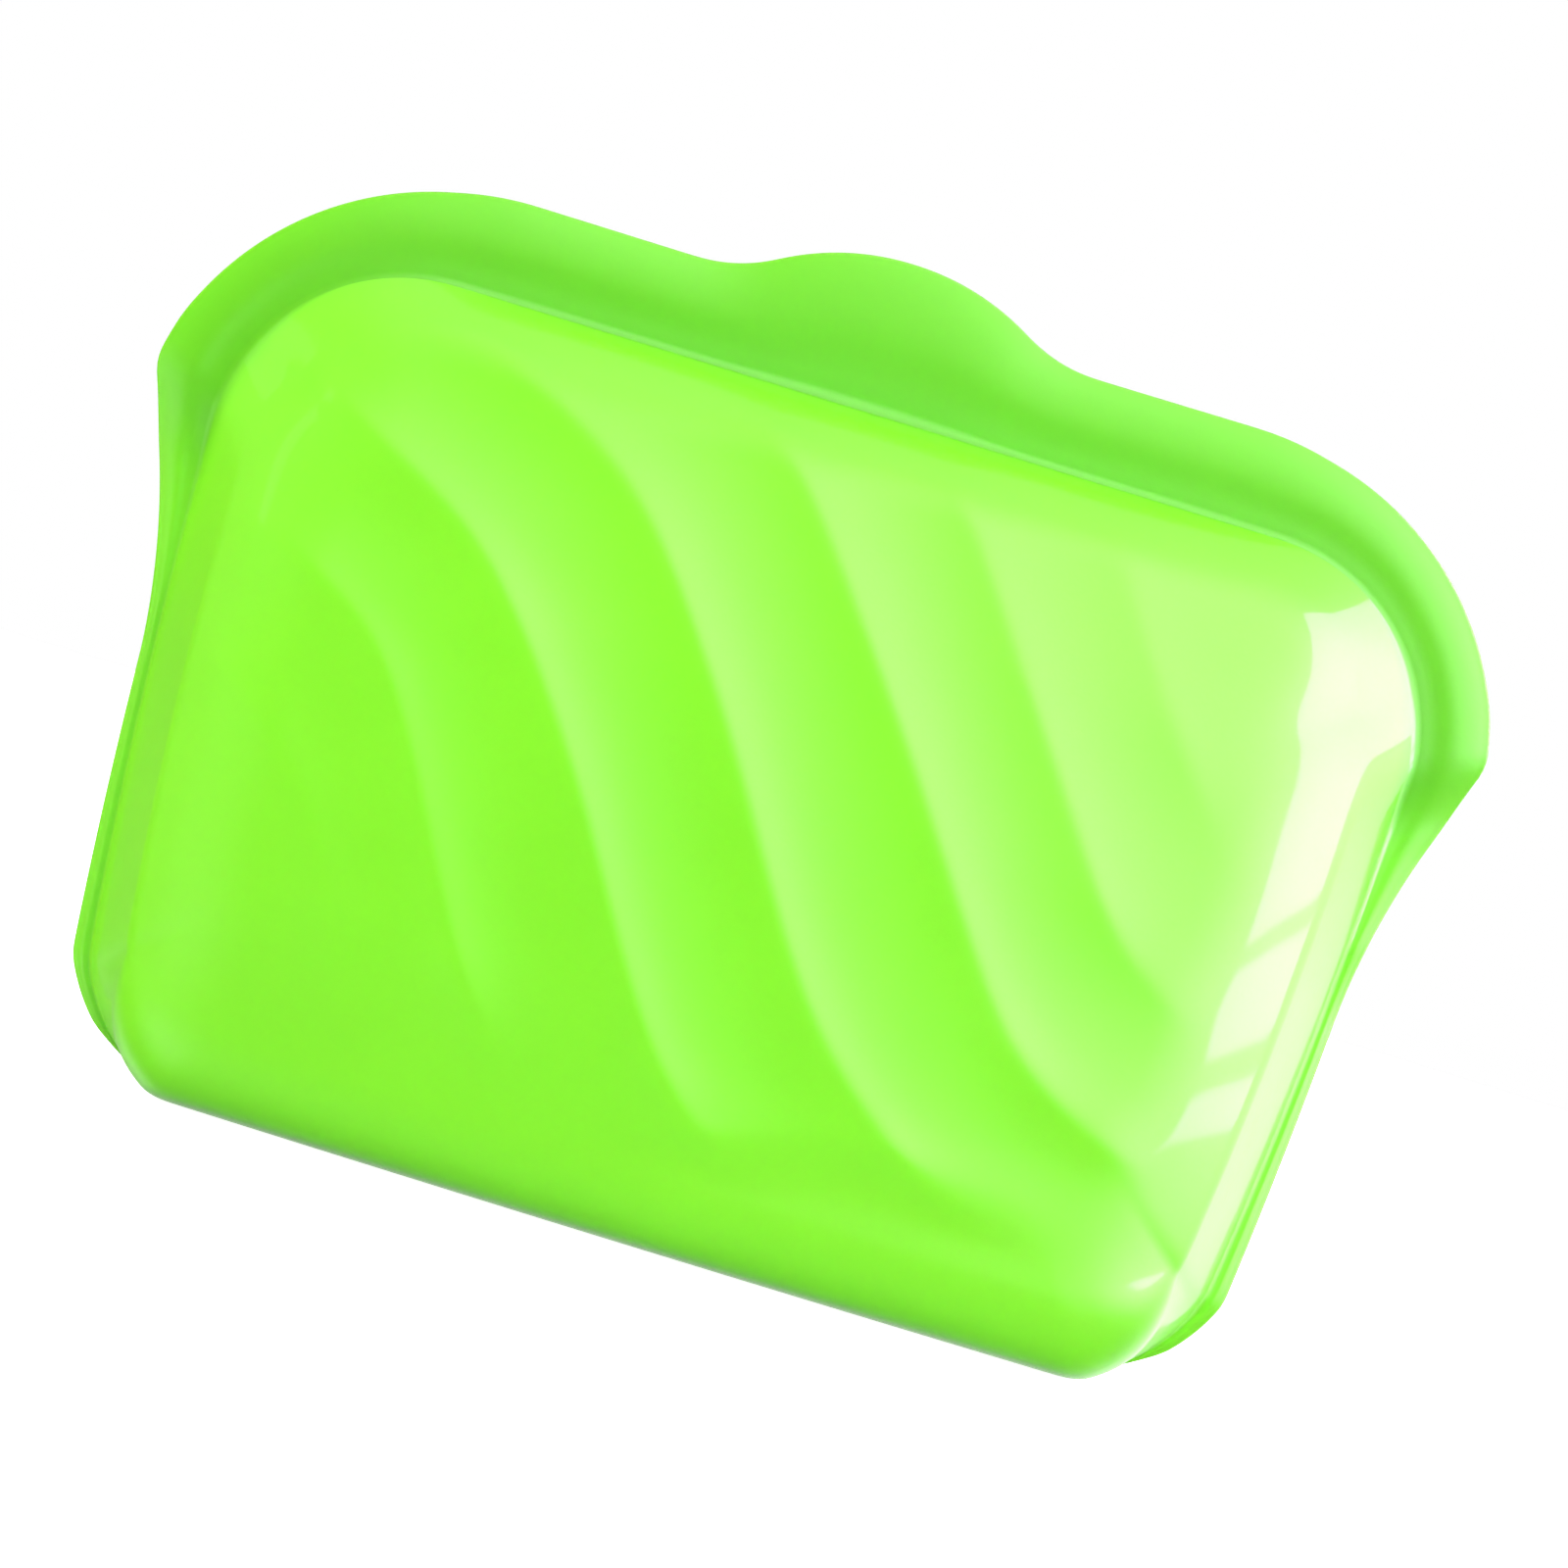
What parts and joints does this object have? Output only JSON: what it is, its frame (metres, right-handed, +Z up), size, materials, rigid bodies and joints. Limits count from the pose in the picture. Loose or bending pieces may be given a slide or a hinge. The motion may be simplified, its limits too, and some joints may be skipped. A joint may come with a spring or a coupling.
{
  "type": "silicone food pouch",
  "caption": "Free-standing lime green silicone food pouch with a wave relief, an arched lip with finger tabs and a press-to-close mouth that opens front and back.",
  "frame": {"origin": "centre of the pouch at the surface that it stands on", "axes": "+X across the width, +Y from the front to the back, +Z up through the mouth"},
  "size_m": [0.2, 0.0608, 0.1464],
  "materials": {
    "silicone": "satin moulded silicone, slightly see-through",
    "closure": "smooth moulded silicone"
  },
  "bodies": {
    "pouch": {"base_panel": "silicone", "front_wall_lower": "silicone", "back_wall_lower": "silicone", "front_flex_band": "silicone", "back_flex_band": "silicone", "left_side_seam": "silicone", "right_side_seam": "silicone", "left_zip_stop": "closure", "right_zip_stop": "closure"},
    "front_mouth": {"front_wall_upper": "silicone", "front_lip": "silicone", "front_tab": "silicone", "zip_rib": "closure"},
    "back_mouth": {"back_wall_upper": "silicone", "back_lip": "silicone", "back_tab": "silicone", "zip_outer_rail": "closure", "zip_inner_rail": "closure"}
  },
  "joints": [
    {"name": "front_mouth_swing", "type": "hinge", "parent": "pouch", "child": "front_mouth", "pos_m": [0, 0, 0.092], "axis": [1, 0, 0], "range_deg": [0, 28], "stiffness_Nm_per_rad": 0.04, "springref_deg": -8.59, "deforming": ["front_flex_band"]},
    {"name": "back_mouth_swing", "type": "hinge", "parent": "pouch", "child": "back_mouth", "pos_m": [0, 0, 0.092], "axis": [-1, 0, 0], "range_deg": [0, 28], "stiffness_Nm_per_rad": 0.04, "springref_deg": -8.59, "deforming": ["back_flex_band"]}
  ]
}
